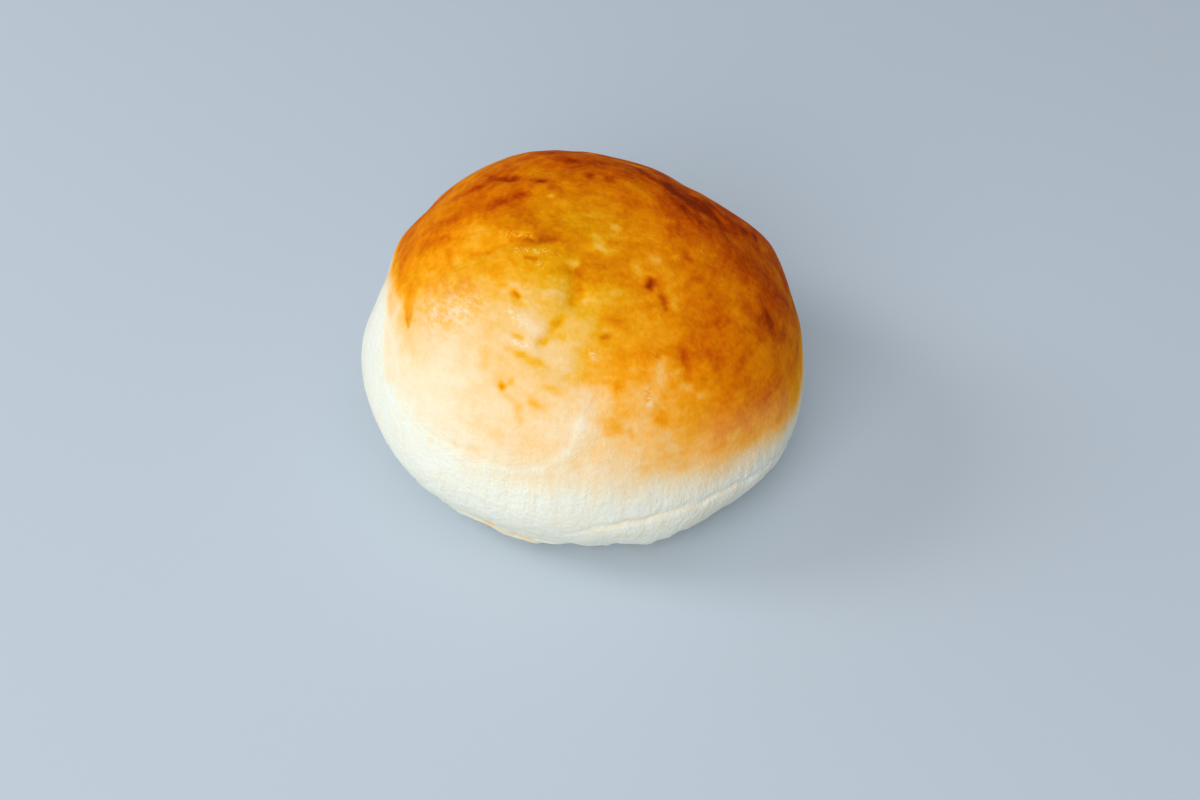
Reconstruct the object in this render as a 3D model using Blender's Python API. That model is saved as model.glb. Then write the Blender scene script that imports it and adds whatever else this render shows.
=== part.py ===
"""A runza: a plump round bun of bread dough, filled, pinched shut underneath and baked.

Metres, +Z up. The origin is the centre of the bun's footprint on the surface it rests on. The side with the
long fold faces -Y. The bun is one closed solid: a sphere whose points are moved onto the dough's own form.
"""

import math

import bmesh
import bpy
import numpy as np

# The bun's driving sizes, in metres
WIDE_RADIUS = 0.0532
WIDE_HEIGHT = 0.0205
CROWN_HEIGHT = 0.0648
FOOT_SHARE = 0.80

# Exponents of the profile: a fuller crown than an ellipse, and a side that turns under evenly
CROWN_POWER = 2.4
SIDE_POWER = 2.0

# The crown leans to the back, and its left shoulder is fuller than its right one
CROWN_LEAN = (-0.0002, 0.0022)
SHOULDER_TILT = (-0.078, -0.017)

# Unevenness of the plan: lobes round it, the share of the radius that each adds, and where it is fullest
PLAN_LOBES = ((2, 0.007, -46.0), (3, 0.0125, -8.5), (4, 0.011, 23.0), (5, 0.003, -20.0))

# Broad soft swellings and flats of the crust: azimuth in degrees, then height, reach and rise in metres
SWELLINGS = (
    (-176.0, 0.023, 0.009, 0.0009),
    (-156.0, 0.016, 0.006, -0.0002),
    (-131.0, 0.008, 0.007, 0.0004),
    (-115.0, 0.004, 0.006, -0.0009),
    (-66.0, 0.008, 0.006, 0.0011),
    (-46.0, 0.013, 0.006, -0.0007),
    (-19.0, 0.013, 0.004, 0.0005),
    (-3.0, 0.030, 0.009, -0.0006),
    (13.0, 0.035, 0.006, -0.0003),
    (25.0, 0.044, 0.009, 0.0016),
    (28.0, 0.045, 0.005, 0.0003),
    (53.0, 0.052, 0.008, -0.0008),
    (95.0, 0.036, 0.014, 0.0003),
    (103.0, 0.056, 0.006, -0.0005),
    (120.0, 0.055, 0.008, 0.0004),
    (157.0, 0.047, 0.006, -0.0005),
    (165.0, 0.042, 0.008, 0.0009),
    (177.0, 0.035, 0.008, -0.0011),
)

# Shallow creases and hollows pressed into the crown: the plan places of their ends, width and depth
HOLLOWS = (
    ((-0.029, -0.0135), (-0.011, -0.009), 0.0026, 0.0006),
    ((-0.003, -0.014), (-0.002, -0.025), 0.0034, 0.0006),
    ((-0.002, -0.025), (-0.007, -0.035), 0.0030, 0.0004),
    ((-0.020, 0.014), (-0.008, 0.020), 0.0032, 0.0005),
    ((0.020, 0.020), (0.032, 0.008), 0.0036, 0.0005),
)

# Long folds low on the side, where gathered dough laps over: azimuths, then heights at the ends and middle
FOLDS = ((-94.0, -10.0, 0.0110, 0.0205), (84.0, 152.0, 0.0060, 0.0120))
FOLD_SKEW, FOLD_ARCH = 0.8, 0.7
FOLD_WIDTH = 0.0016
FOLD_DEPTH = 0.0007
LIP_WIDTH = 0.0042
LIP_RISE = 0.0008

# Thin pressed edges that stand out round the foot: azimuths from and to
EDGES = ((-128.0, -95.0), (20.0, 60.0), (158.0, 178.0))
EDGE_HEIGHT = 0.0040
EDGE_WIDTH = 0.0019
EDGE_RISE = 0.0011

# Pleats where the dough was gathered: notches round the foot, and creases round the pinched middle beneath
PLEATS = (-152.0, -129.0, -90.0, -77.0, -43.0, -4.0, 38.0, 78.0, 112.0, 150.0)
PLEAT_WIDTH = 0.0024
PLEAT_DEPTH = 0.0016
PLEAT_TWIST = 24.0
NOTCH_DEPTH = 0.0012
PINCH_RADIUS = 0.0120
PINCH_DEPTH = 0.0026
PLEAT_FADE = (0.017, 0.033)
FOOT_CURL = 0.0014
NOTCH_POWER, CURL_POWER = 4, 10
FLAT_MARGIN = 0.0003

# The share of a fold's or an edge's length over which each of its ends dies away
SPAN_FADE = 0.16

# How finely the sphere is divided, round the bun and along its profile
SEGMENTS = 120
CROWN_RINGS, SIDE_RINGS, UNDER_RINGS = 21, 16, 7
FOOT_RING = CROWN_RINGS + SIDE_RINGS
RINGS = FOOT_RING + UNDER_RINGS


def bell(distance, width):
    """1 at no distance, falling smoothly to nothing past about twice the width."""
    return np.exp(-((distance / width) ** 2))


def ramp(value, low, high):
    """0 below low and 1 above high, with a smooth rise between."""
    share = np.clip((value - low) / (high - low), 0.0, 1.0)
    return share * share * (3.0 - 2.0 * share)


def turn_from(azimuth, other):
    """Signed angle in radians from other, in degrees, to azimuth, in radians."""
    return (azimuth - np.radians(other) + math.pi) % math.tau - math.pi


def span(azimuth, start, end):
    """How far along the azimuths from start to end, 0 to 1, and how strong a feature there is."""
    share = np.clip((np.degrees(azimuth) - start) / (end - start), 0.0, 1.0)
    return share, ramp(share, 0.0, SPAN_FADE) * ramp(1.0 - share, 0.0, SPAN_FADE)


def plan_radius(azimuth):
    """Radius of the widest line, which is fuller on some sides."""
    swell = sum(share * np.cos(lobes * (azimuth - math.radians(fullest)))
                for lobes, share, fullest in PLAN_LOBES)
    return WIDE_RADIUS * (1.0 + swell)


def crown_point(azimuth, share):
    """Radius and height on the crown: share is 0 at the top and 1 at the widest line."""
    reach = np.sin(share * math.pi / 2)
    tilt = 1.0 + reach * (SHOULDER_TILT[0] * np.cos(azimuth) + SHOULDER_TILT[1] * np.sin(azimuth))
    rise = (CROWN_HEIGHT - WIDE_HEIGHT) * tilt * np.sqrt(1.0 - reach ** CROWN_POWER)
    return plan_radius(azimuth) * reach, WIDE_HEIGHT + rise


def side_point(azimuth, share):
    """Radius and height on the side: share is 0 at the widest line and 1 at the foot."""
    narrowing = (1.0 - FOOT_SHARE) * share ** SIDE_POWER
    radius = plan_radius(azimuth) * (1.0 - narrowing) - FOOT_CURL * share ** CURL_POWER
    return radius, WIDE_HEIGHT * (1.0 - share)


def swelling_relief(azimuth, height):
    """How far the broad swellings and flats move the crust out, by azimuth and height."""
    relief = 0.0
    for side, level, reach, rise in SWELLINGS:
        around = turn_from(azimuth, side) * WIDE_RADIUS
        relief = relief + rise * bell(around, reach) * bell(height - level, reach)
    return relief


def fold_relief(azimuth, height):
    """How far the folds move the side out: a crease, with a lip of dough standing out under it."""
    relief = 0.0
    for start, end, low, high in FOLDS:
        share, strength = span(azimuth, start, end)
        below = low + (high - low) * np.sin(share ** FOLD_SKEW * math.pi) ** FOLD_ARCH - height
        crease = FOLD_DEPTH * bell(below, FOLD_WIDTH)
        lip = LIP_RISE * ramp(below, 0.0, FOLD_WIDTH * 1.5) * bell(below - LIP_WIDTH, LIP_WIDTH)
        relief = relief + strength * (lip - crease)
    return relief


def edge_relief(azimuth, height):
    """How far the thin pressed edges stand out round the foot."""
    relief = 0.0
    for start, end in EDGES:
        relief = relief + span(azimuth, start, end)[1] * EDGE_RISE * bell(height - EDGE_HEIGHT, EDGE_WIDTH)
    return relief


def notch_relief(azimuth, share):
    """How far the pleats' outer ends draw the foot of the side inwards."""
    notches = sum(bell(turn_from(azimuth, pleat) * WIDE_RADIUS, PLEAT_WIDTH) for pleat in PLEATS)
    return -NOTCH_DEPTH * notches * share ** NOTCH_POWER


def hollow_relief(x, y, height):
    """How far the creases and hollows lower the crown, by place in plan."""
    relief = 0.0
    for (x_from, y_from), (x_to, y_to), width, depth in HOLLOWS:
        along_x, along_y = x_to - x_from, y_to - y_from
        share = ((x - x_from) * along_x + (y - y_from) * along_y) / (along_x ** 2 + along_y ** 2)
        share = np.clip(share, 0.0, 1.0)
        away = np.hypot(x - x_from - share * along_x, y - y_from - share * along_y)
        relief = relief + depth * bell(away, width)
    return relief * ramp(height, WIDE_HEIGHT, WIDE_HEIGHT * 1.5)


def under_height(azimuth, radius, inward):
    """Height of the underside: flat, but for the pleats and the pinched middle; inward is 0 at the foot."""
    turns = (turn_from(azimuth, pleat + PLEAT_TWIST * inward) for pleat in PLEATS)
    pleats = sum(bell(turn * radius, PLEAT_WIDTH) for turn in turns)
    fades = ramp(radius, 0.0, PINCH_RADIUS) * (1.0 - ramp(radius, *PLEAT_FADE))
    grooves = PLEAT_DEPTH * np.minimum(pleats, 1.0) * fades
    raised = PINCH_DEPTH * bell(radius, PINCH_RADIUS) + grooves
    return np.maximum(raised - FLAT_MARGIN, 0.0)


def surface(azimuth, ring):
    """Points of the bun's skin, for arrays of azimuth in radians and ring number from the top."""
    crown_share = np.clip(ring / CROWN_RINGS, 0.0, 1.0)
    side_share = np.clip((ring - CROWN_RINGS) / SIDE_RINGS, 0.0, 1.0)
    under_share = np.clip((ring - FOOT_RING) / UNDER_RINGS, 0.0, 1.0)

    crown_radius, crown_height = crown_point(azimuth, crown_share)
    side_radius, side_height = side_point(azimuth, side_share)
    below = ring > CROWN_RINGS
    radius = np.where(below, side_radius, crown_radius)
    height = np.where(below, side_height, crown_height)

    outward = swelling_relief(azimuth, height) + fold_relief(azimuth, height)
    outward = outward + edge_relief(azimuth, height) + notch_relief(azimuth, side_share)
    radius = (radius + outward * ramp(radius, 0.0, WIDE_RADIUS / 2)) * (1.0 - under_share)
    height = np.where(ring > FOOT_RING, under_height(azimuth, radius, under_share), height)

    lean = np.clip((height - WIDE_HEIGHT) / (CROWN_HEIGHT - WIDE_HEIGHT), 0.0, 1.0)
    x = radius * np.cos(azimuth) + CROWN_LEAN[0] * lean
    y = radius * np.sin(azimuth) + CROWN_LEAN[1] * lean
    return np.stack([x, y, height - hollow_relief(x, y, height)], axis=1)


def centred(points):
    """The points, moved so that the box round them stands on the origin."""
    low, high = points.min(axis=0), points.max(axis=0)
    middle = (low + high) / 2
    return points - np.array([middle[0], middle[1], low[2]])


def make_bun(collection):
    """The bun's solid, shaped from a sphere ring by ring."""
    shape = bmesh.new()
    bmesh.ops.create_uvsphere(shape, u_segments=SEGMENTS, v_segments=RINGS, radius=1.0)
    at = np.array([vertex.co for vertex in shape.verts])
    azimuth = np.arctan2(at[:, 1], at[:, 0])
    ring = np.rint(np.arccos(np.clip(at[:, 2], -1.0, 1.0)) / math.pi * RINGS)
    for vertex, place in zip(shape.verts, centred(surface(azimuth, ring))):
        vertex.co = place
    bmesh.ops.triangulate(shape, faces=shape.faces[:])
    bmesh.ops.recalc_face_normals(shape, faces=shape.faces[:])
    mesh = bpy.data.meshes.new("bread_bun")
    shape.to_mesh(mesh)
    shape.free()
    mesh.shade_smooth()
    bun = bpy.data.objects.new("bread_bun", mesh)
    collection.objects.link(bun)
    return bun


def crust_material():
    """Golden baked crust with a soft egg-wash sheen."""
    material = bpy.data.materials.new("baked_crust")
    material.use_nodes = True
    shader = material.node_tree.nodes["Principled BSDF"]
    shader.inputs["Base Color"].default_value = (0.72, 0.36, 0.08, 1.0)
    shader.inputs["Roughness"].default_value = 0.45
    shader.inputs["Metallic"].default_value = 0.0
    return material


def main():
    for old in list(bpy.data.objects):
        bpy.data.objects.remove(old)
    collection = bpy.data.collections.new("runza")
    bpy.context.scene.collection.children.link(collection)
    bun = make_bun(collection)
    bun.data.materials.append(crust_material())


main()
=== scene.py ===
"""The looks of a runza, a baked filled bun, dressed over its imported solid.

Metres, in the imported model's frame: +Z up, the long fold on the -Y side. The bun's skin comes from the same
named sizes as the solid, divided more finely, with the small relief and the browning of a real crust on it.
"""

import itertools
import math

import bmesh
import bpy
import numpy as np
from mathutils import Euler, Matrix, Vector


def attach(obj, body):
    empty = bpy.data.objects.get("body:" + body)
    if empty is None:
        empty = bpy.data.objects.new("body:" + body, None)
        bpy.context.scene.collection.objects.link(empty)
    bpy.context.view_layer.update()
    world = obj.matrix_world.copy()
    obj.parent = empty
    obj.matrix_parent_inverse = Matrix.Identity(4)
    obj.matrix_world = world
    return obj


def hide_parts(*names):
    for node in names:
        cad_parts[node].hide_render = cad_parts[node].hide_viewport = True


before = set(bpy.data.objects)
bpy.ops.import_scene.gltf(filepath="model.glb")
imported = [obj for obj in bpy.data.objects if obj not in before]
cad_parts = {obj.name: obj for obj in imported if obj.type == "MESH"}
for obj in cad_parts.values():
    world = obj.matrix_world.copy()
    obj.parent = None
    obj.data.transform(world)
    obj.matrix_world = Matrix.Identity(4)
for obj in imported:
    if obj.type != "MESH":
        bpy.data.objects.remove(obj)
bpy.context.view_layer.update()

# The camera: where it stands from the middle of the bun's foot, how far down it looks and how far it leans
CAMERA_PLACE = (0.00452, -0.30257, 0.29291)
CAMERA_DOWN = 43.40
CAMERA_LEAN = 4.587
CAMERA_LENS = 50.0
CAMERA_SENSOR = 36.0
CAMERA_NEAR = 0.01

# The bun's driving sizes, in metres, as in the solid
WIDE_RADIUS = 0.0532
WIDE_HEIGHT = 0.0205
CROWN_HEIGHT = 0.0648
FOOT_SHARE = 0.80
CROWN_POWER = 2.4
SIDE_POWER = 2.0
CROWN_LEAN = (-0.0002, 0.0022)
SHOULDER_TILT = (-0.078, -0.017)
PLAN_LOBES = ((2, 0.007, -46.0), (3, 0.0125, -8.5), (4, 0.011, 23.0), (5, 0.003, -20.0))

# Broad soft swellings and flats of the crust: azimuth in degrees, then height, reach and rise in metres
SWELLINGS = (
    (-176.0, 0.023, 0.009, 0.0009),
    (-156.0, 0.016, 0.006, -0.0002),
    (-131.0, 0.008, 0.007, 0.0004),
    (-115.0, 0.004, 0.006, -0.0009),
    (-66.0, 0.008, 0.006, 0.0011),
    (-46.0, 0.013, 0.006, -0.0007),
    (-19.0, 0.013, 0.004, 0.0005),
    (-3.0, 0.030, 0.009, -0.0006),
    (13.0, 0.035, 0.006, -0.0003),
    (25.0, 0.044, 0.009, 0.0016),
    (28.0, 0.045, 0.005, 0.0003),
    (53.0, 0.052, 0.008, -0.0008),
    (95.0, 0.036, 0.014, 0.0003),
    (103.0, 0.056, 0.006, -0.0005),
    (120.0, 0.055, 0.008, 0.0004),
    (157.0, 0.047, 0.006, -0.0004),
    (165.0, 0.042, 0.008, 0.0009),
    (177.0, 0.035, 0.008, -0.0011),
)

# Shallow creases and hollows pressed into the crown: the plan places of their ends, width and depth; they
# are full from this many times the height of the widest line upwards
HOLLOWS = (
    ((-0.029, -0.0135), (-0.011, -0.009), 0.0026, 0.0006),
    ((-0.003, -0.014), (-0.002, -0.025), 0.0034, 0.0006),
    ((-0.002, -0.025), (-0.007, -0.035), 0.0030, 0.0004),
    ((-0.020, 0.014), (-0.008, 0.020), 0.0032, 0.0005),
    ((0.020, 0.020), (0.032, 0.008), 0.0036, 0.0005),
)
HOLLOWS_FULL = 1.5

# Long folds low on the side: azimuths, then heights at the ends and middle; their line waves a little, so
# many times round the bun and shifted by so much, and the lip starts within so many widths of the crease
FOLDS = ((-94.0, -10.0, 0.0110, 0.0205), (84.0, 152.0, 0.0060, 0.0120))
FOLD_SKEW, FOLD_ARCH = 0.8, 0.7
FOLD_WIDTH = 0.0008
FOLD_DEPTH = 0.00045
FOLD_WANDER = 0.00025
FOLD_WAVES = ((21.0, 0.0), (47.0, 1.0))
LIP_WIDTH = 0.0042
LIP_RISE = 0.00045
LIP_START = 1.5

# Thin pressed edges that stand out round the foot
EDGES = ((-128.0, -95.0), (20.0, 60.0), (158.0, 178.0))
EDGE_HEIGHT = 0.0040
EDGE_WIDTH = 0.0019
EDGE_RISE = 0.0011

# Pleats: notches round the foot, and creases round the pinched middle beneath
PLEATS = (-152.0, -129.0, -90.0, -77.0, -43.0, -4.0, 38.0, 78.0, 112.0, 150.0)
PLEAT_WIDTH = 0.0024
PLEAT_DEPTH = 0.0016
PLEAT_TWIST = 24.0
NOTCH_DEPTH = 0.0012
PINCH_RADIUS = 0.0120
PINCH_DEPTH = 0.0026
PLEAT_FADE = (0.017, 0.033)
FOOT_CURL = 0.0014
NOTCH_POWER, CURL_POWER = 4, 10
FLAT_MARGIN = 0.0003
SPAN_FADE = 0.16

# Rings of the profile as the solid counts them, and how many finer ones the skin has in each
CROWN_RINGS, SIDE_RINGS, UNDER_RINGS = 21, 16, 7
CROWN_FINE, SIDE_FINE, UNDER_FINE = 7, 4, 2
FOOT_RING = CROWN_RINGS + SIDE_RINGS
RINGS = FOOT_RING + UNDER_RINGS
SEGMENTS = 444

# Random fields: how many slopes they are made of, and what brings their heights to about 1
SLOPES = 256
FIELD_GAIN = 1.6

# The square of the shortest line that counts as one, so that a mark with no length is a round spot
NO_LENGTH = 1e-12


def bell(distance, width):
    """1 at no distance, falling smoothly to nothing past about twice the width."""
    return np.exp(-((distance / width) ** 2))


def ramp(value, low, high):
    """0 below low and 1 above high, with a smooth rise between."""
    share = np.clip((value - low) / (high - low), 0.0, 1.0)
    return share * share * (3.0 - 2.0 * share)


def turn_from(azimuth, other):
    """Signed angle in radians from other, in degrees, to azimuth, in radians."""
    return (azimuth - np.radians(other) + math.pi) % math.tau - math.pi


def span(azimuth, start, end):
    """How far along the azimuths from start to end, 0 to 1, and how strong a feature there is."""
    share = np.clip((np.degrees(azimuth) - start) / (end - start), 0.0, 1.0)
    return share, ramp(share, 0.0, SPAN_FADE) * ramp(1.0 - share, 0.0, SPAN_FADE)


def plan_radius(azimuth):
    """Radius of the widest line, which is fuller on some sides."""
    swell = sum(share * np.cos(lobes * (azimuth - math.radians(fullest)))
                for lobes, share, fullest in PLAN_LOBES)
    return WIDE_RADIUS * (1.0 + swell)


def crown_point(azimuth, share):
    """Radius and height on the crown: share is 0 at the top and 1 at the widest line."""
    reach = np.sin(share * math.pi / 2)
    tilt = 1.0 + reach * (SHOULDER_TILT[0] * np.cos(azimuth) + SHOULDER_TILT[1] * np.sin(azimuth))
    rise = (CROWN_HEIGHT - WIDE_HEIGHT) * tilt * np.sqrt(1.0 - reach ** CROWN_POWER)
    return plan_radius(azimuth) * reach, WIDE_HEIGHT + rise


def side_point(azimuth, share):
    """Radius and height on the side: share is 0 at the widest line and 1 at the foot."""
    narrowing = (1.0 - FOOT_SHARE) * share ** SIDE_POWER
    radius = plan_radius(azimuth) * (1.0 - narrowing) - FOOT_CURL * share ** CURL_POWER
    return radius, WIDE_HEIGHT * (1.0 - share)


def swelling_relief(azimuth, height):
    """How far the broad swellings and flats move the crust out, by azimuth and height."""
    relief = 0.0
    for side, level, reach, rise in SWELLINGS:
        around = turn_from(azimuth, side) * WIDE_RADIUS
        relief = relief + rise * bell(around, reach) * bell(height - level, reach)
    return relief


def fold_relief(azimuth, height):
    """How far the folds move the side out: a crease, with a lip of dough standing out under it."""
    relief = 0.0
    for start, end, low, high in FOLDS:
        share, strength = span(azimuth, start, end)
        wander = FOLD_WANDER * sum(np.sin(azimuth * waves + shift) for waves, shift in FOLD_WAVES)
        below = low + (high - low) * np.sin(share ** FOLD_SKEW * math.pi) ** FOLD_ARCH + wander - height
        crease = FOLD_DEPTH * bell(below, FOLD_WIDTH)
        lip = LIP_RISE * ramp(below, 0.0, FOLD_WIDTH * LIP_START) * bell(below - LIP_WIDTH, LIP_WIDTH)
        relief = relief + strength * (lip - crease)
    return relief


def edge_relief(azimuth, height):
    """How far the thin pressed edges stand out round the foot."""
    relief = 0.0
    for start, end in EDGES:
        relief = relief + span(azimuth, start, end)[1] * EDGE_RISE * bell(height - EDGE_HEIGHT, EDGE_WIDTH)
    return relief


def notch_relief(azimuth, share):
    """How far the pleats' outer ends draw the foot of the side inwards."""
    notches = sum(bell(turn_from(azimuth, pleat) * WIDE_RADIUS, PLEAT_WIDTH) for pleat in PLEATS)
    return -NOTCH_DEPTH * notches * share ** NOTCH_POWER


def hollow_relief(x, y, height):
    """How far the creases and hollows lower the crown, by place in plan."""
    relief = 0.0
    for (x_from, y_from), (x_to, y_to), width, depth in HOLLOWS:
        along_x, along_y = x_to - x_from, y_to - y_from
        share = ((x - x_from) * along_x + (y - y_from) * along_y) / (along_x ** 2 + along_y ** 2)
        share = np.clip(share, 0.0, 1.0)
        away = np.hypot(x - x_from - share * along_x, y - y_from - share * along_y)
        relief = relief + depth * bell(away, width)
    return relief * ramp(height, WIDE_HEIGHT, WIDE_HEIGHT * HOLLOWS_FULL)


def under_height(azimuth, radius, inward):
    """Height of the underside: flat, but for the pleats and the pinched middle; inward is 0 at the foot."""
    turns = (turn_from(azimuth, pleat + PLEAT_TWIST * inward) for pleat in PLEATS)
    pleats = sum(bell(turn * radius, PLEAT_WIDTH) for turn in turns)
    fades = ramp(radius, 0.0, PINCH_RADIUS) * (1.0 - ramp(radius, *PLEAT_FADE))
    grooves = PLEAT_DEPTH * np.minimum(pleats, 1.0) * fades
    raised = PINCH_DEPTH * bell(radius, PINCH_RADIUS) + grooves
    return np.maximum(raised - FLAT_MARGIN, 0.0)


def surface(azimuth, ring):
    """Points of the bun's skin, for arrays of azimuth in radians and ring number from the top."""
    crown_share = np.clip(ring / CROWN_RINGS, 0.0, 1.0)
    side_share = np.clip((ring - CROWN_RINGS) / SIDE_RINGS, 0.0, 1.0)
    under_share = np.clip((ring - FOOT_RING) / UNDER_RINGS, 0.0, 1.0)

    crown_radius, crown_height = crown_point(azimuth, crown_share)
    side_radius, side_height = side_point(azimuth, side_share)
    below = ring > CROWN_RINGS
    radius = np.where(below, side_radius, crown_radius)
    height = np.where(below, side_height, crown_height)

    outward = swelling_relief(azimuth, height) + fold_relief(azimuth, height)
    outward = outward + edge_relief(azimuth, height) + notch_relief(azimuth, side_share)
    radius = (radius + outward * ramp(radius, 0.0, WIDE_RADIUS / 2)) * (1.0 - under_share)
    height = np.where(ring > FOOT_RING, under_height(azimuth, radius, under_share), height)

    lean = np.clip((height - WIDE_HEIGHT) / (CROWN_HEIGHT - WIDE_HEIGHT), 0.0, 1.0)
    x = radius * np.cos(azimuth) + CROWN_LEAN[0] * lean
    y = radius * np.sin(azimuth) + CROWN_LEAN[1] * lean
    return np.stack([x, y, height - hollow_relief(x, y, height)], axis=1)


def lattice_noise(points, size, salt):
    """A smooth random field of about -1 to 1, whose lumps are size across; salt picks one of many."""
    rng = np.random.default_rng(salt)
    order = rng.permutation(SLOPES)
    slopes = rng.normal(size=(SLOPES, 3))
    slopes /= np.linalg.norm(slopes, axis=1, keepdims=True)
    at = points / size
    cell = np.floor(at).astype(int)
    part = at - cell
    ease = part ** 3 * (part * (part * 6 - 15) + 10)
    total = np.zeros(len(points))
    for corner in itertools.product((0, 1), repeat=3):
        node = (cell + corner) % SLOPES
        key = order[(order[(order[node[:, 0]] + node[:, 1]) % SLOPES] + node[:, 2]) % SLOPES]
        weight = np.where(corner, ease, 1.0 - ease).prod(axis=1)
        total += weight * (slopes[key] * (part - corner)).sum(axis=1)
    return total * FIELD_GAIN


def layered_noise(points, size, salt, layers=3):
    """Several fields added, each half as large and half as strong as the one before."""
    return sum(lattice_noise(points, size / 2 ** layer, salt + layer) / 2 ** layer for layer in range(layers))


def place(azimuth, down):
    """A point of the skin: down is 0 at the top, 1 at the widest line and 2 at the foot."""
    ring = down * CROWN_RINGS if down <= 1.0 else CROWN_RINGS + (down - 1.0) * SIDE_RINGS
    return surface(np.array([math.radians(azimuth)]), np.array([ring]))[0]


def beside(points, start, end):
    """Distance of each point from the line between two places on the skin, and how far along it is."""
    first, last = place(*start), place(*end)
    along = last - first
    share = np.clip((points - first) @ along / max(along @ along, NO_LENGTH), 0.0, 1.0)
    return np.linalg.norm(points - first - share[:, None] * along, axis=1), share


def away_from(points, start, end):
    """Distance of each point from the line between two places on the skin."""
    return beside(points, start, end)[0]


# How brown the crust is, from 0, pale dough, to 1, dark brown, by azimuth: how brown its cap is, how far
# down the cap ends above the pale side, and over how much of the way down it fades
BROWN_PATH = (
    (-180.0, 0.74, 0.70, 0.18),
    (-165.0, 0.62, 0.68, 0.13),
    (-155.0, 0.60, 0.69, 0.18),
    (-140.0, 0.60, 0.78, 0.24),
    (-120.0, 0.57, 0.86, 0.20),
    (-90.0, 0.60, 0.855, 0.24),
    (-60.0, 0.64, 0.86, 0.30),
    (-20.0, 0.74, 0.90, 0.28),
    (0.0, 0.77, 0.89, 0.36),
    (20.0, 0.83, 0.89, 0.32),
    (60.0, 0.80, 0.90, 0.24),
    (100.0, 0.83, 0.84, 0.24),
    (140.0, 0.73, 0.76, 0.20),
    (180.0, 0.74, 0.70, 0.18),
)

# How brown the very top is, and how far down the cap of each side has taken over from it
TOP_BROWN = 0.58
TOP_REACH = 0.26

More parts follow.
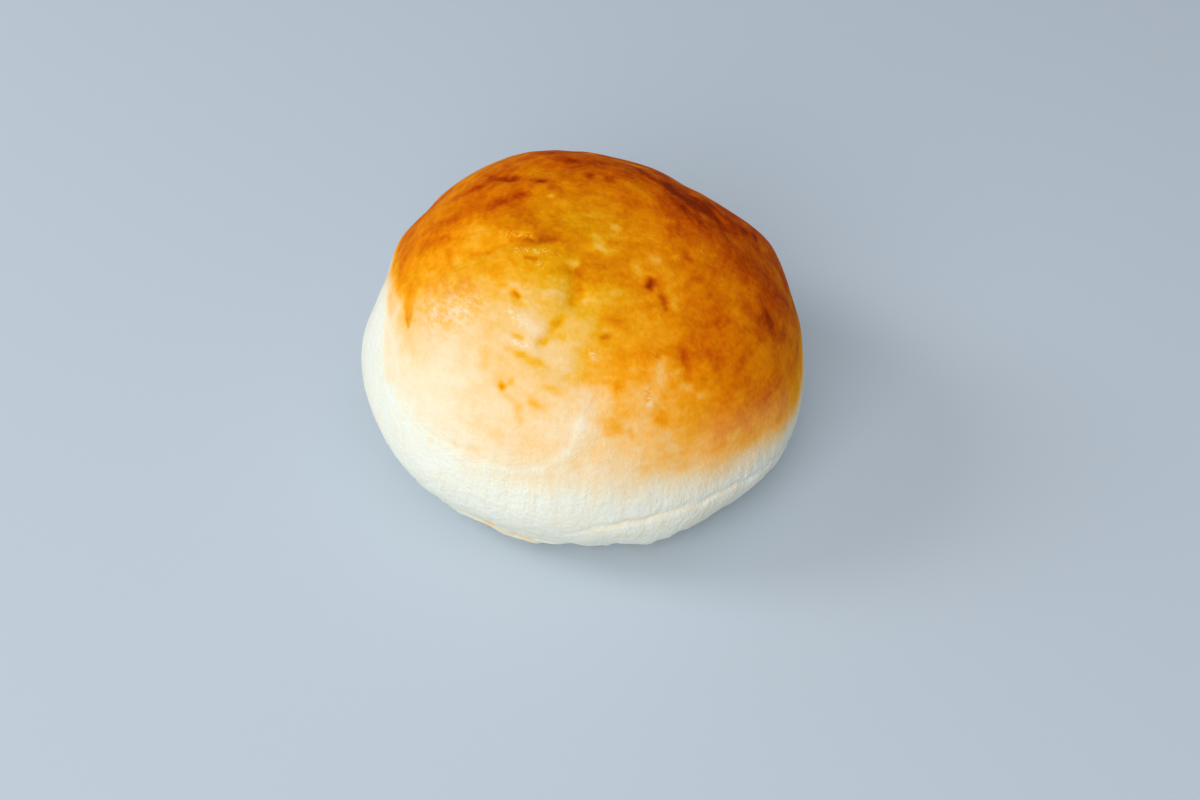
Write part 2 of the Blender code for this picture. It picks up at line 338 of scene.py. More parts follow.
# Broad zones of the cap that are browner or paler: their ends as azimuth and down, width and strength
ZONES = (
    ((-118.0, 0.62), (-124.0, 0.68), 0.0165, -0.325),
    ((-148.0, 0.64), (-134.0, 0.68), 0.0080, -0.17),
    ((-84.0, 0.72), (-98.0, 0.78), 0.0110, -0.25),
    ((-144.0, 0.78), (-112.0, 0.86), 0.0070, -0.15),
    ((-64.0, 0.58), (-70.0, 0.68), 0.0080, -0.11),
    ((-88.0, 0.62), (-90.0, 0.74), 0.0070, -0.09),
    ((-80.0, 0.82), (-82.0, 0.85), 0.0056, -0.08),
    ((-172.0, 0.72), (-158.0, 0.66), 0.0030, -0.22),
    ((-100.0, 0.42), (-90.0, 0.38), 0.0072, -0.11),
    ((20.0, 0.32), (-14.0, 0.60), 0.0080, 0.07),
    ((-178.0, 0.32), (150.0, 0.28), 0.0050, 0.01),
    ((-160.0, 0.30), (-148.0, 0.32), 0.0060, -0.09),
    ((-44.0, 0.36), (-30.0, 0.24), 0.0060, -0.06),
    ((-98.0, 0.30), (-100.0, 0.34), 0.0060, -0.03),
    ((-110.0, 0.20), (-88.0, 0.22), 0.0060, 0.04),
    ((-57.0, 0.50), (-55.0, 0.58), 0.0045, 0.05),
    ((-136.0, 0.47), (-132.0, 0.46), 0.0036, -0.05),
    ((-54.0, 0.61), (-52.0, 0.62), 0.0026, -0.08),
    ((-102.0, 0.49), (-96.0, 0.55), 0.0034, -0.09),
    ((-164.0, 0.25), (-152.0, 0.16), 0.0040, 0.11),
    ((-143.0, 0.21), (-128.0, 0.17), 0.0035, 0.07),
    ((-72.0, 0.77), (-68.0, 0.75), 0.0048, -0.13),
    ((-53.0, 0.23), (-51.0, 0.24), 0.0026, -0.13),
    ((38.0, 0.19), (-19.0, 0.18), 0.0022, -0.12),
    ((-60.0, 0.44), (-57.0, 0.49), 0.0030, -0.10),
    ((-114.0, 0.59), (-114.0, 0.63), 0.0028, 0.08),
    ((-128.0, 0.34), (-122.0, 0.42), 0.0040, -0.06),
    ((-74.0, 0.33), (-70.0, 0.35), 0.0030, -0.11),
    ((-88.0, 0.46), (-86.0, 0.47), 0.0028, -0.08),
    ((-178.0, 0.10), (-166.0, 0.12), 0.0022, -0.09),
    ((-147.0, 0.56), (-143.0, 0.56), 0.0044, 0.03),
    ((-138.0, 0.57), (-136.0, 0.58), 0.0026, 0.08),
    ((-134.0, 0.69), (-130.0, 0.70), 0.0044, 0.06),
    ((-148.0, 0.52), (-145.0, 0.50), 0.0026, -0.07),
    ((-106.0, 0.81), (-94.0, 0.83), 0.0035, -0.08),
    ((-96.0, 0.66), (-92.0, 0.67), 0.0036, -0.03),
    ((-84.0, 0.77), (-80.0, 0.82), 0.0036, -0.05),
    ((-114.0, 0.72), (-106.0, 0.73), 0.0036, -0.05),
    ((-72.0, 0.61), (-60.0, 0.66), 0.0040, -0.09),
    ((-45.0, 0.60), (-42.0, 0.65), 0.0035, 0.09),
    ((-47.0, 0.34), (-45.0, 0.36), 0.0024, -0.05),
    ((-50.0, 0.50), (-46.0, 0.52), 0.0030, 0.08),
    ((40.0, 0.30), (33.0, 0.37), 0.0028, 0.10),
    ((-20.0, 0.43), (-18.0, 0.45), 0.0030, -0.09),
    ((-79.0, 0.22), (-77.0, 0.23), 0.0024, -0.08),
    ((-66.0, 0.11), (-62.0, 0.11), 0.0024, -0.08),
    ((-113.0, 0.33), (-101.0, 0.34), 0.0030, -0.07),
    ((-30.0, 0.70), (-28.0, 0.67), 0.0030, -0.08),
    ((-23.0, 0.56), (-21.0, 0.58), 0.0030, 0.08),
    ((117.0, 0.03), (117.0, 0.05), 0.0030, 0.09),
    ((-66.0, 0.73), (-56.0, 0.81), 0.0042, -0.06),
    ((-94.0, 0.29), (-93.0, 0.34), 0.0026, -0.06),
    ((-170.0, 0.34), (-160.0, 0.40), 0.0042, -0.06),
    ((-75.0, 0.44), (-72.0, 0.44), 0.0026, -0.08),
    ((6.0, 0.41), (-18.0, 0.34), 0.0036, -0.06),
    ((-38.0, 0.15), (-34.0, 0.15), 0.0024, -0.08),
    ((10.0, 0.11), (12.0, 0.12), 0.0022, 0.08),
    ((-3.0, 0.33), (-4.0, 0.44), 0.0028, 0.06),
    ((-10.0, 0.27), (-9.0, 0.29), 0.0022, -0.07),
    ((-1.0, 0.46), (3.0, 0.49), 0.0026, 0.06),
    ((28.0, 0.27), (20.0, 0.25), 0.0024, 0.06),
    ((-38.0, 0.86), (-20.0, 0.86), 0.0040, 0.05),
    ((-76.0, 0.835), (-70.0, 0.835), 0.0032, -0.07),
    ((-22.0, 0.72), (-20.0, 0.72), 0.0028, -0.07),
    ((-80.0, 0.41), (-79.0, 0.43), 0.0024, 0.07),
    ((-103.0, 0.41), (-102.0, 0.43), 0.0024, 0.07),
    ((-7.0, 0.56), (-5.0, 0.58), 0.0026, 0.07),
    ((-44.0, 0.41), (-42.0, 0.43), 0.0030, 0.06),
    ((-79.0, 0.65), (-77.0, 0.67), 0.0024, 0.07),
    ((-83.0, 0.60), (-81.0, 0.62), 0.0026, -0.08),
    ((84.0, 0.50), (70.0, 0.60), 0.0090, -0.12),
    ((128.0, 0.50), (118.0, 0.62), 0.0060, -0.10),
    ((100.0, 0.66), (92.0, 0.72), 0.0060, -0.12),
    ((50.0, 0.44), (44.0, 0.50), 0.0060, -0.09),
    ((50.0, 0.21), (44.0, 0.23), 0.0026, -0.06),
    ((-36.0, 0.22), (-28.0, 0.25), 0.0045, -0.06),
    ((-160.0, 0.51), (-156.0, 0.53), 0.0034, -0.07),
    ((-52.0, 0.70), (-44.0, 0.70), 0.0050, -0.06),
    ((62.0, 0.40), (44.0, 0.34), 0.0034, 0.10),
    ((172.0, 0.52), (150.0, 0.50), 0.0060, -0.09),
    ((-122.0, 0.37), (-118.0, 0.36), 0.0035, -0.02),
    ((-22.0, 0.44), (-18.0, 0.46), 0.0040, -0.07),
    ((120.0, 0.22), (146.0, 0.24), 0.0040, -0.06),
)

# Spots, streaks and creases of the cap: their ends as azimuth and down, width, how much browner, and depth;
# in the groove and its pit some of the darkening is painted shade
MARKS = (
    # back left, where the wash was brushed on in lines
    ((150.0, 0.37), (149.0, 0.28), 0.0016, 0.17, 0.00010),
    ((149.0, 0.28), (144.0, 0.19), 0.0013, 0.18, 0.00008),
    ((144.0, 0.19), (137.0, 0.16), 0.0011, 0.10, 0.00004),
    ((-177.0, 0.42), (176.0, 0.26), 0.0019, 0.10, 0.00005),
    ((177.0, 0.28), (172.0, 0.22), 0.0019, 0.08, 0.00006),
    ((164.0, 0.29), (153.0, 0.265), 0.0012, 0.08, 0.0),
    ((-174.0, 0.36), (-171.0, 0.36), 0.0012, 0.07, 0.0),
    ((164.0, 0.46), (160.0, 0.38), 0.0015, 0.09, 0.00005),
    ((160.0, 0.38), (154.0, 0.35), 0.0014, 0.07, 0.0),
    ((170.0, 0.22), (168.0, 0.19), 0.0012, 0.08, 0.0),
    ((-172.0, 0.50), (-169.0, 0.44), 0.0018, 0.10, 0.0),
    ((-165.0, 0.42), (-162.0, 0.38), 0.0010, 0.13, 0.0),
    ((-158.0, 0.51), (-157.0, 0.49), 0.0009, 0.12, 0.00005),
    ((-178.0, 0.30), (-168.0, 0.32), 0.0012, 0.08, 0.0),
    # the long crease over the shoulder and the spots at its end
    ((-152.0, 0.38), (-147.0, 0.33), 0.0007, 0.09, 0.00022),
    ((-147.0, 0.33), (-145.0, 0.23), 0.0006, 0.07, 0.00020),
    ((-141.0, 0.225), (-138.0, 0.215), 0.0008, 0.15, 0.00008),
    ((-132.0, 0.20), (-124.0, 0.185), 0.0012, 0.18, 0.00014),
    ((-129.0, 0.275), (-123.0, 0.265), 0.0007, 0.19, 0.00012),
    ((-119.0, 0.22), (-113.0, 0.22), 0.0007, 0.07, 0.00005),
    # the groove on the front of the crown, short creases, and a pit: the groove's browner line is partly a
    # browner crust and partly painted shade in the groove
    ((-99.0, 0.25), (-95.0, 0.34), 0.0017, 0.17, 0.00030),
    ((-107.0, 0.26), (-98.0, 0.25), 0.0008, 0.07, 0.00010),
    ((-93.5, 0.31), (-92.5, 0.33), 0.0009, 0.09, 0.00005),
    ((-99.0, 0.41), (-104.0, 0.50), 0.0011, 0.10, 0.00020),
    ((-105.0, 0.49), (-103.0, 0.485), 0.0011, 0.10, 0.00012),
    ((-99.0, 0.46), (-97.0, 0.46), 0.0010, 0.10, 0.00008),
    # a pit, strongly darkened: painted shade in its hollow
    ((-121.5, 0.39), (-119.5, 0.395), 0.0009, 0.34, 0.00022),
    ((-117.0, 0.40), (-112.0, 0.42), 0.0006, 0.02, 0.00012),
    ((-128.0, 0.39), (-127.0, 0.385), 0.0008, 0.09, 0.00006),
    ((-110.0, 0.34), (-109.0, 0.34), 0.0008, 0.08, 0.00006),
    ((-113.5, 0.50), (-110.5, 0.50), 0.0006, 0.16, 0.00016),
    ((-114.5, 0.54), (-109.0, 0.545), 0.0009, 0.09, 0.00006),
    ((-109.0, 0.545), (-103.0, 0.55), 0.0010, 0.10, 0.00006),
    ((-103.0, 0.55), (-94.0, 0.57), 0.0009, 0.05, 0.00006),
    ((-100.0, 0.61), (-95.0, 0.62), 0.0007, 0.09, 0.00004),
    # dabs of wash low on the front
    ((-112.0, 0.645), (-112.0, 0.645), 0.00085, 0.36, 0.00006),
    ((-110.0, 0.625), (-109.5, 0.62), 0.0007, 0.14, 0.00004),
    ((-106.5, 0.68), (-105.0, 0.72), 0.0011, 0.09, 0.0),
    ((-110.0, 0.66), (-106.0, 0.68), 0.0009, 0.08, 0.0),
    ((-103.0, 0.665), (-101.0, 0.665), 0.0009, 0.10, 0.0),
    ((-101.0, 0.66), (-98.0, 0.67), 0.0014, 0.05, 0.0),
    ((-121.0, 0.56), (-119.0, 0.61), 0.0012, 0.09, 0.0),
    ((-121.0, 0.87), (-120.8, 0.87), 0.0005, 0.30, 0.00005),
    ((-79.0, 0.59), (-79.5, 0.63), 0.0010, 0.07, 0.0),
    ((-69.5, 0.60), (-70.5, 0.635), 0.0005, 0.12, 0.00020),
    ((-76.0, 0.51), (-76.0, 0.53), 0.0012, 0.09, 0.0),
    ((-82.5, 0.69), (-79.5, 0.69), 0.0012, 0.13, 0.0),
    ((-82.0, 0.715), (-79.0, 0.71), 0.0012, 0.12, 0.0),
    ((-76.0, 0.715), (-75.5, 0.725), 0.0009, 0.15, 0.0),
    ((-65.0, 0.63), (-67.0, 0.69), 0.0018, 0.11, 0.0),
    ((-67.5, 0.69), (-69.5, 0.725), 0.0018, 0.06, 0.0),
    ((-83.0, 0.45), (-81.0, 0.445), 0.0006, 0.16, 0.00010),
    # pits and dark spots right of the top
    ((-54.5, 0.295), (-57.0, 0.315), 0.0010, 0.30, 0.00018),
    ((-54.5, 0.35), (-54.5, 0.385), 0.0008, 0.20, 0.00012),
    ((-66.0, 0.21), (-62.0, 0.24), 0.0022, 0.05, 0.0),
    ((-22.0, 0.28), (-24.0, 0.305), 0.0009, 0.13, 0.00006),
    ((-55.5, 0.51), (-56.5, 0.595), 0.0012, 0.17, 0.00010),
    ((-16.0, 0.58), (-17.0, 0.63), 0.0018, 0.11, 0.0),
    ((-2.0, 0.62), (0.0, 0.67), 0.0020, 0.12, 0.0),
    ((19.0, 0.48), (19.0, 0.53), 0.0018, 0.12, 0.0),
    ((40.0, 0.34), (28.0, 0.36), 0.0026, 0.09, 0.0),
    ((64.0, 0.275), (46.0, 0.33), 0.0020, 0.10, 0.0),
    ((46.0, 0.33), (31.0, 0.39), 0.0022, 0.13, 0.0),
    ((31.0, 0.39), (24.0, 0.44), 0.0016, 0.06, 0.0),
    ((28.0, 0.30), (24.0, 0.33), 0.0009, 0.10, 0.0),
    ((12.0, 0.36), (4.0, 0.42), 0.0014, 0.08, 0.0),
    ((80.0, 0.155), (79.0, 0.175), 0.0015, 0.26, 0.00010),
    ((98.0, 0.155), (97.0, 0.17), 0.0012, 0.20, 0.00005),
    ((64.0, 0.30), (60.0, 0.29), 0.0014, 0.16, 0.0),
    ((108.0, 0.27), (92.0, 0.22), 0.0019, 0.10, 0.0),
    ((149.0, 0.15), (147.0, 0.13), 0.0013, 0.16, 0.0),
    ((120.0, 0.24), (112.0, 0.26), 0.0014, -0.04, 0.0),
    # the back, finished like the front
    ((62.0, 0.42), (56.0, 0.52), 0.0018, 0.11, 0.00008),
    ((74.0, 0.50), (72.0, 0.53), 0.0011, 0.20, 0.00014),
    ((90.0, 0.44), (84.0, 0.43), 0.0012, 0.16, 0.00010),
    ((104.0, 0.52), (98.0, 0.55), 0.0009, 0.18, 0.00012),
    ((118.0, 0.38), (112.0, 0.46), 0.0018, 0.12, 0.00008),
    ((124.0, 0.56), (116.0, 0.58), 0.0016, 0.12, 0.0),
    ((136.0, 0.46), (132.0, 0.44), 0.0010, 0.16, 0.00010),
    ((44.0, 0.58), (40.0, 0.64), 0.0016, 0.12, 0.0),
    ((84.0, 0.66), (78.0, 0.70), 0.0014, 0.12, 0.0),
    ((66.0, 0.64), (66.0, 0.68), 0.0011, 0.16, 0.00006),
    ((96.0, 0.36), (93.0, 0.38), 0.0013, -0.16, 0.0),
    ((70.0, 0.36), (68.0, 0.38), 0.0014, -0.16, 0.0),
    ((110.0, 0.60), (106.0, 0.62), 0.0013, -0.14, 0.0),
    ((52.0, 0.62), (50.0, 0.60), 0.0012, -0.15, 0.0),
    # pale spots
    ((-102.5, 0.235), (-101.0, 0.23), 0.0013, -0.20, 0.0),
    ((-82.0, 0.16), (-76.0, 0.18), 0.0014, -0.20, 0.0),
    ((-86.0, 0.12), (-84.0, 0.13), 0.0012, -0.17, 0.0),
    ((-51.0, 0.09), (-50.0, 0.10), 0.0012, -0.18, 0.0),
    ((-58.0, 0.25), (-57.0, 0.26), 0.0014, -0.17, 0.0),
    ((-40.0, 0.24), (-40.0, 0.25), 0.0013, -0.14, 0.0),
    ((-49.0, 0.35), (-50.0, 0.39), 0.0013, -0.15, 0.0),
    ((164.0, 0.125), (166.0, 0.13), 0.0010, -0.20, 0.0),
    ((-27.0, 0.50), (-24.0, 0.49), 0.0016, -0.13, 0.0),
    ((-59.0, 0.61), (-57.0, 0.62), 0.0009, -0.12, 0.0),
    ((-55.0, 0.65), (-53.0, 0.65), 0.0009, -0.14, 0.0),
    ((-50.0, 0.57), (-49.0, 0.64), 0.0014, -0.11, 0.0),
    ((-82.0, 0.42), (-80.0, 0.42), 0.0013, -0.10, 0.0),
    ((-63.0, 0.52), (-66.0, 0.58), 0.0010, -0.13, 0.0),
    ((-112.0, 0.45), (-106.0, 0.46), 0.0022, -0.08, 0.0),
    # the edge of the brushed wash low on the front left, and the pale line round the lobe beside it
    ((-129.0, 0.87), (-121.0, 0.865), 0.0008, 0.09, 0.00005),
    ((-121.0, 0.865), (-115.0, 0.85), 0.0008, 0.10, 0.00006),
    ((-120.0, 0.895), (-112.0, 0.89), 0.0011, -0.08, 0.0),
    ((-112.0, 0.885), (-106.0, 0.88), 0.0010, -0.10, 0.0),
    ((-106.0, 0.88), (-98.0, 0.85), 0.0010, -0.11, 0.0),
    ((-98.0, 0.85), (-92.0, 0.785), 0.0012, -0.07, 0.0),
    ((-92.0, 0.785), (-88.5, 0.70), 0.0014, -0.06, 0.0),
    ((-116.0, 0.91), (-110.0, 0.92), 0.0030, -0.12, 0.0),
    ((-88.5, 0.70), (-87.0, 0.60), 0.0014, -0.05, 0.0),
    ((-108.0, 0.78), (-98.0, 0.80), 0.0026, 0.05, 0.0),
)

# Marks on the pale side and the foot: their ends as azimuth and down, width and how much browner; along the
# long fold's crease the darkening is painted shade
FOOT_MARKS = (
    # the line of the long fold, darkened as painted shade in its crease, and the dough below it, a little
    # browner
    ((-84.0, 1.24), (-76.0, 1.02), 0.0010, 0.07),
    ((-76.0, 1.02), (-60.0, 1.02), 0.0008, 0.05),
    ((-60.0, 1.03), (-44.0, 1.06), 0.0008, 0.05),
    ((-70.0, 1.18), (-46.0, 1.20), 0.0028, 0.035),
    # browned rims of the pressed edges at the foot
    ((-125.0, 1.62), (-113.0, 1.70), 0.0012, 0.09),
    ((-113.0, 1.68), (-102.0, 1.70), 0.0018, 0.13),
    ((-102.0, 1.72), (-95.0, 1.76), 0.0016, 0.09),
    ((-56.0, 1.58), (-51.0, 1.62), 0.0008, 0.18),
    ((-72.0, 1.80), (-66.0, 1.80), 0.0008, 0.12),
    ((-66.0, 1.80), (-57.0, 1.76), 0.0007, 0.10),
    ((26.0, 1.62), (52.0, 1.62), 0.0009, 0.18),
    ((162.0, 1.62), (174.0, 1.62), 0.0009, 0.16),
)

# Drips, where the wash ran down onto paler crust: their ends, width at each end and how brown they are
DRIPS = (
    ((-158.5, 0.575), (-148.4, 0.66), 0.0052, 0.0006, 0.53),
    ((-168.0, 0.66), (-160.0, 0.675), 0.0034, 0.0034, 0.29),
    ((-160.0, 0.68), (-147.0, 0.80), 0.0034, 0.0034, 0.15),
)

# Small raised flakes of the glaze, which glint, and whose glints are also painted into the colour as paler
# specks: their ends, width and strength
GLINTING_FLAKES = (
    ((-153.0, 0.27), (-141.0, 0.21), 0.0010, 0.6),
    ((-137.0, 0.27), (-124.0, 0.24), 0.0009, 0.7),
    ((-120.0, 0.27), (-117.0, 0.28), 0.0007, 0.9),
    ((-122.0, 0.23), (-112.0, 0.22), 0.0009, 0.5),
    ((-102.0, 0.235), (-101.0, 0.23), 0.0008, 0.3),
    ((-112.5, 0.515), (-107.0, 0.515), 0.0007, 0.9),
    ((-119.0, 0.44), (-112.0, 0.46), 0.0012, 0.7),
    ((-87.0, 0.49), (-86.0, 0.51), 0.0006, 0.8),
    ((-70.0, 0.595), (-70.0, 0.645), 0.0007, 0.9),
    ((2.0, 0.20), (1.0, 0.20), 0.0006, 0.8),
    ((-29.0, 0.26), (-30.0, 0.275), 0.0006, 0.8),
    ((-14.0, 0.31), (-14.0, 0.315), 0.0005, 0.7),
    ((-36.0, 0.82), (-36.0, 0.825), 0.0005, 0.6),
    ((-66.0, 0.50), (-65.0, 0.56), 0.0006, 0.5),
    ((164.0, 0.125), (166.0, 0.13), 0.0006, 0.4),
)

# Two patches over the crust, by their ends and width, where a pale colour is painted in as sheen: one
# wrinkled and glossy, one on the right flank, a dull sheen along the rim
WRINKLED_SHEEN_PATCH = ((-142.0, 0.58), (-134.0, 0.52), 0.0056)
RIM_SHEEN_PATCH = ((-54.0, 0.79), (-26.0, 0.87), 0.0045)

# Patches where the crust is more, or less, yellow-gold than elsewhere: their ends, width and strength
GOLD_PATCHES = (
    ((-95.0, 0.30), (-120.0, 0.16), 0.013, 0.95),
    ((-138.0, 0.55), (-102.0, 0.55), 0.013, 0.75),
    ((4.0, 0.70), (-10.0, 0.80), 0.009, 0.35),
    ((24.0, 0.34), (-40.0, 0.62), 0.012, -0.15),
)
GOLD_BASE = 0.2
GOLD_UNEVEN, GOLD_NOISE = 0.2, (0.010, 81)

# How far places are moved before zones and marks are drawn on them, the size of the random field that moves
# them, and its salts; zones and marks up to the small widths are only nudged, so that they keep their places
BEND = (0.0011, 0.006, (11, 21, 31))
NUDGE = (0.00030, 0.003, (12, 22, 32))
SMALL_ZONE = 0.0045
SMALL_MARK = 0.00125

# Uneven browning: how strong it is, then the size and the salt of its noise
EDGE_RIBS, EDGE_RIB_NOISE = 0.014, (0.0050, 41)
CAP_STROKES, CAP_STROKE_NOISE = 0.055, (0.0050, 51)
EDGE_WAVES, EDGE_WAVE_NOISE = 0.02, (0.020, 61)
CAP_MOTTLE, CAP_MOTTLE_NOISE = 0.035, (0.0075, 71)
CAP_EVEN, CAP_UNEVEN = 0.2, 0.8

# The underside: how brown it is where it stood on the pan, and where it is raised this far or more
UNDER_BROWN = 0.42
UNDER_PALE = 0.27
UNDER_RAISED = 0.0020
UNDER_FADE = 0.06
UNDER_MOTTLE, UNDER_MOTTLE_NOISE = 0.07, (0.0090, 91)
UNDER_UNEVEN, UNDER_UNEVEN_NOISE = 0.0004, (0.0050, 95)

# Small relief: how high it is in metres, then the size, the salt and the layers of its noise
LUMPS, LUMP_NOISE = 0.00022, (0.016, 101, 2)
FINE_LUMPS, FINE_LUMP_NOISE = 0.00008, (0.006, 111, 2)
WRINKLES, WRINKLE_NOISE = 0.00010, (0.0030, 121, 2)
RIBS, RIB_NOISE = 0.00015, (0.0034, 131, 2)
STROKES, STROKE_NOISE = 0.00004, (0.0034, 141, 2)
SCALLOPS, SCALLOP_NOISE = 0.00042, (0.0044, 151, 2)
FLAKE_RISE = 0.00009

# Where the small relief lies on the way down, and over how much of it each part fades
CROWN_END, CROWN_FADE = 1.15, 0.3
RIBS_START, RIBS_FULL, RIBS_FADE = 0.80, 1.0, 0.15
STROKES_START, STROKES_FULL = 0.15, 0.3
SCALLOPS_AT, SCALLOPS_REACH = 1.75, 0.22
LUMPS_FADE = 0.3

# The even tube on which noise is drawn, and how the noise is stretched down the side and round the crown
MIDDLE_REACH = 0.040
EDGE_RIB_STRETCH = (1.0, 1.0, 0.12)
CAP_STROKE_STRETCH = (0.35, 0.35, 1.0)
RIB_STRETCH = (1.0, 1.0, 0.10)
STROKE_STRETCH = (0.3, 0.3, 1.0)
SCALLOP_STRETCH = (1.0, 1.0, 0.4)


def along_path(azimuth, path):
    """The values of a path at azimuths in radians, going evenly from one of its places to the next."""
    sides = [row[0] for row in path]
    return [np.interp(np.degrees(azimuth), sides, column) for column in list(zip(*path))[1:]]


def flow_points(azimuth, down):
    """Places on the even tube, closed over the top, for noise drawn along or across the crust."""
    reach = MIDDLE_REACH * np.minimum(down * 2.0, 1.0)
    return np.stack([np.cos(azimuth) * reach, np.sin(azimuth) * reach, down * 2 * MIDDLE_REACH], axis=1)


def patch(points, start, end, width):
    """A soft patch along the line between two places."""
    return bell(away_from(points, start, end), width)


def patches(points, rows):
    """Several soft patches added up, each given by its ends, width and strength."""
    return sum(strength * patch(points, start, end, width) for start, end, width, strength in rows)


def moved(points, reach, size, salts):
    """The points moved by random fields, so that what is drawn on them has uneven edges."""
    return points + reach * np.stack([layered_noise(points, size, salt) for salt in salts], axis=1)


def under_browning(points):
    """How brown the underside is."""
    height = points[:, 2] + UNDER_UNEVEN * layered_noise(points, *UNDER_UNEVEN_NOISE)
    raised = ramp(height, 0.0, UNDER_RAISED)
    mottle = UNDER_MOTTLE * layered_noise(points, *UNDER_MOTTLE_NOISE)
    return UNDER_BROWN + (UNDER_PALE - UNDER_BROWN) * raised + mottle


def browning_and_shade(points, azimuth, down):
    """How brown each point of the crust is, with painted shade along the long fold's crease and in the groove
    and pit on the crown.
    """
    bent, nudged = moved(points, *BEND), moved(points, *NUDGE)
    flow = flow_points(azimuth, down)
    cap, edge, fade = along_path(azimuth, BROWN_PATH)
    cap = TOP_BROWN + (cap - TOP_BROWN) * ramp(down, 0.0, TOP_REACH)
    for start, end, width, strength in ZONES:
        cap = cap + strength * patch(bent if width > SMALL_ZONE else nudged, start, end, width)
    edge = edge + EDGE_RIBS * layered_noise(flow * EDGE_RIB_STRETCH, *EDGE_RIB_NOISE)
    edge = edge + EDGE_WAVES * layered_noise(points, *EDGE_WAVE_NOISE)
    covered = ramp((edge - down) / fade + 0.5, 0.0, 1.0)
    uneven = CAP_STROKES * layered_noise(flow * CAP_STROKE_STRETCH, *CAP_STROKE_NOISE)
    uneven = uneven + CAP_MOTTLE * layered_noise(points, *CAP_MOTTLE_NOISE)
    cap = cap + uneven * ramp(cap, CAP_EVEN, CAP_UNEVEN)
    for start, end, width, strength, depth in MARKS:
        cap = cap + strength * patch(bent if width > SMALL_MARK else nudged, start, end, width)
    brown_and_shade = cap * covered
    for start, end, wide, narrow, level in DRIPS:
        away, share = beside(nudged, start, end)
        width = wide + (narrow - wide) * share
        brown_and_shade = np.maximum(brown_and_shade, level * bell((away / width) ** 2, 1.0))
    foot = patches(nudged, FOOT_MARKS)
    under = under_browning(points) * ramp(down, 2.0, 2.0 + UNDER_FADE)
    return np.clip(brown_and_shade + np.maximum(foot, under), 0.0, 1.0)


def goldness(points):
    """Where the crust is yellow-gold rather than orange: on top and towards the front."""
    gold = GOLD_BASE + patches(points, GOLD_PATCHES)
    return np.clip(gold + GOLD_UNEVEN * layered_noise(points, *GOLD_NOISE), 0.0, 1.0)


def flakes_and_glints(points):
    """Where the small raised flakes of glaze are, whose glints are also painted in as paler colour."""
    return np.clip(patches(points, GLINTING_FLAKES), 0.0, 1.0)


def fine_relief(points, azimuth, down):
    """How far the small relief moves the skin along its normal."""
    flow = flow_points(azimuth, down)
    lumps = LUMPS * layered_noise(points, *LUMP_NOISE) + FINE_LUMPS * layered_noise(points, *FINE_LUMP_NOISE)
    lumps = lumps * ramp(2.0 - down, 0.0, LUMPS_FADE)

    wrinkles = WRINKLES * patch(points, *WRINKLED_SHEEN_PATCH) * np.abs(layered_noise(points, *WRINKLE_NOISE))
    pressed = [(start, end, width, depth) for start, end, width, strength, depth in MARKS if depth]
    strokes = STROKES * layered_noise(flow * STROKE_STRETCH, *STROKE_NOISE)
    strokes = strokes * ramp(down, STROKES_START, STROKES_FULL)
    crown = wrinkles - patches(points, pressed) + FLAKE_RISE * flakes_and_glints(points) + strokes
    crown = crown * ramp(CROWN_END - down, 0.0, CROWN_FADE)

    side = ramp(down, RIBS_START, RIBS_FULL) * ramp(2.0 - down, 0.0, RIBS_FADE)
    ribs = RIBS * side * layered_noise(flow * RIB_STRETCH, *RIB_NOISE)
    foot = bell(down - SCALLOPS_AT, SCALLOPS_REACH) * (down < 2.0)
    scallops = SCALLOPS * foot * layered_noise(flow * SCALLOP_STRETCH, *SCALLOP_NOISE)
    return lumps + crown + ribs + scallops


def make_bun():
    """The bun's skin, shaped from a fine sphere ring by ring, with its browning and painted shade kept on its
    points.
    """
    shape = bmesh.new()
    counts = (0, CROWN_RINGS * CROWN_FINE, SIDE_RINGS * SIDE_FINE, UNDER_RINGS * UNDER_FINE)
    stations = np.cumsum(counts)
    rings = int(stations[-1])
    bmesh.ops.create_uvsphere(shape, u_segments=SEGMENTS, v_segments=rings, radius=1.0)
    at = np.array([vertex.co for vertex in shape.verts])
    azimuth = np.arctan2(at[:, 1], at[:, 0])
    order = np.rint(np.arccos(np.clip(at[:, 2], -1.0, 1.0)) / math.pi * rings)
    ring = np.interp(order, stations, (0, CROWN_RINGS, FOOT_RING, RINGS))
    points = surface(azimuth, ring)
    down = np.where(ring <= CROWN_RINGS, ring / CROWN_RINGS, 1.0 + (ring - CROWN_RINGS) / SIDE_RINGS)

    for vertex, spot in zip(shape.verts, points):
        vertex.co = spot
    shape.normal_update()
    normals = np.array([vertex.normal for vertex in shape.verts])
    if (normals * (points - points.mean(axis=0))).sum() < 0.0:
        bmesh.ops.reverse_faces(shape, faces=shape.faces[:])
        normals = -normals
    finished = points + normals * fine_relief(points, azimuth, down)[:, None]
    low, high = points.min(axis=0), points.max(axis=0)
    finished -= np.array([(low[0] + high[0]) / 2, (low[1] + high[1]) / 2, low[2]])
    finished[:, 2] = np.maximum(finished[:, 2], 0.0)
    for vertex, spot in zip(shape.verts, finished):
        vertex.co = spot

    mesh = bpy.data.meshes.new("baked_bun")
    shape.to_mesh(mesh)
    shape.free()
    looks = {
        "browning_and_shade": browning_and_shade(points, azimuth, down),
        "gold": goldness(points),
        "flakes_and_glints": flakes_and_glints(points),
        # the next two patches say where a painted sheen is blended into the colour
        "wrinkled_sheen": patch(points, *WRINKLED_SHEEN_PATCH),
        "rim_sheen": patch(points, *RIM_SHEEN_PATCH),
    }
    for name, values in looks.items():
        mesh.attributes.new(name, "FLOAT", "POINT").data.foreach_set("value", values.astype(np.float32))
    flow = mesh.attributes.new("flow", "FLOAT_VECTOR", "POINT")
    flow.data.foreach_set("vector", flow_points(azimuth, down).astype(np.float32).ravel())
    mesh.shade_smooth()
    bun = bpy.data.objects.new("baked_bun", mesh)
    bpy.context.scene.collection.objects.link(bun)
    return bun


